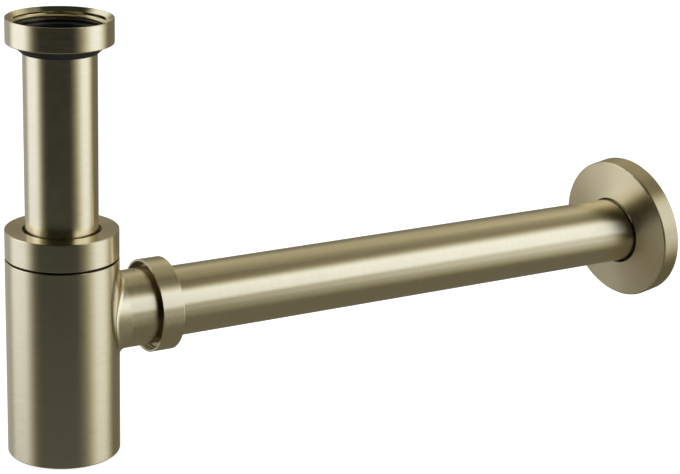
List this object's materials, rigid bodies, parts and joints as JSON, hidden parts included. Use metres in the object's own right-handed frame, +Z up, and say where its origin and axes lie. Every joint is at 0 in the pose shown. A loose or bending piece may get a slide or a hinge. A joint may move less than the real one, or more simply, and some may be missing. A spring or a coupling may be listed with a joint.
{
  "type": "sink bottle trap",
  "caption": "Round brushed-brass bottle trap for a washbasin: union nut and inlet tube on top, cup with side outlet, straight wall pipe and loose wall flange.",
  "frame": {"origin": "on the inlet axis, at the lower end of the inlet nut's thread", "axes": "+Z up the inlet tube and bottle axis, +X along the outlet pipe to the wall"},
  "size_m": [0.355, 0.0715, 0.1969],
  "materials": {
    "brushed_brass": "brushed pale brass",
    "black_rubber": "matte",
    "black_nylon": "matte"
  },
  "bodies": {
    "inlet": {"inlet_tube": "brushed_brass", "inlet_washer": "black_rubber"},
    "stop_ring": {"nut_stop_ring": "black_rubber"},
    "inlet_nut": {"inlet_nut": "brushed_brass"},
    "cap_seal": {"cap_seal": "black_rubber"},
    "bottle": {"bottle": "brushed_brass"},
    "cap_ring": {"cap_slip_ring": "black_nylon"},
    "cap": {"bottle_cap": "brushed_brass"},
    "outlet_ring": {"outlet_slip_ring": "black_nylon"},
    "outlet_nut": {"outlet_nut": "brushed_brass"},
    "outlet_seal": {"outlet_seal": "black_rubber"},
    "pipe": {"outlet_pipe": "brushed_brass"},
    "flange_ring": {"flange_grip_ring": "black_rubber"},
    "flange": {"wall_flange": "brushed_brass"}
  },
  "joints": [
    {"name": "nut_slide", "type": "slide", "parent": "inlet", "child": "stop_ring", "axis": [0, 0, 1], "range_m": [-0.055, 0]},
    {"name": "nut_turn", "type": "hinge", "parent": "stop_ring", "child": "inlet_nut", "pos_m": [0, 0, 0], "axis": [0, 0, 1], "continuous": true},
    {"name": "height_adjust", "type": "slide", "parent": "inlet", "child": "cap_seal", "axis": [0, 0, 1], "range_m": [-0.03, 0.007]},
    {"name": "bottle_swivel", "type": "hinge", "parent": "cap_seal", "child": "bottle", "pos_m": [0, 0, -0.12975], "axis": [0, 0, 1], "continuous": true},
    {"name": "cap_lift", "type": "slide", "parent": "bottle", "child": "cap_ring", "axis": [0, 0, 1], "range_m": [0, 0.0045]},
    {"name": "cap_turn", "type": "hinge", "parent": "cap_ring", "child": "cap", "pos_m": [0, 0, -0.09215], "axis": [0, 0, 1], "range_deg": [0, 1080]},
    {"name": "outlet_nut_travel", "type": "slide", "parent": "bottle", "child": "outlet_ring", "axis": [1, 0, 0], "range_m": [0, 0.0045]},
    {"name": "outlet_nut_turn", "type": "hinge", "parent": "outlet_ring", "child": "outlet_nut", "pos_m": [0.045, 0, -0.12975], "axis": [1, 0, 0], "range_deg": [0, 1080]},
    {"name": "pipe_turn", "type": "hinge", "parent": "bottle", "child": "outlet_seal", "pos_m": [0.046, 0, -0.12975], "axis": [1, 0, 0], "continuous": true},
    {"name": "pipe_slide", "type": "slide", "parent": "outlet_seal", "child": "pipe", "axis": [1, 0, 0], "range_m": [-0.0025, 0.012]},
    {"name": "flange_slide", "type": "slide", "parent": "pipe", "child": "flange_ring", "axis": [1, 0, 0], "range_m": [-0.24, 0.01]},
    {"name": "flange_rock", "type": "hinge", "parent": "flange_ring", "child": "flange", "pos_m": [0.3066, 0, -0.12975], "axis": [0, -0.7358, 0.6772], "range_deg": [-19.18, 0]}
  ],
  "couplings": [
    {"joint": "cap_lift", "follows": "cap_turn", "m_per_rad": 0.00023873},
    {"joint": "outlet_nut_travel", "follows": "outlet_nut_turn", "m_per_rad": 0.00023873}
  ]
}
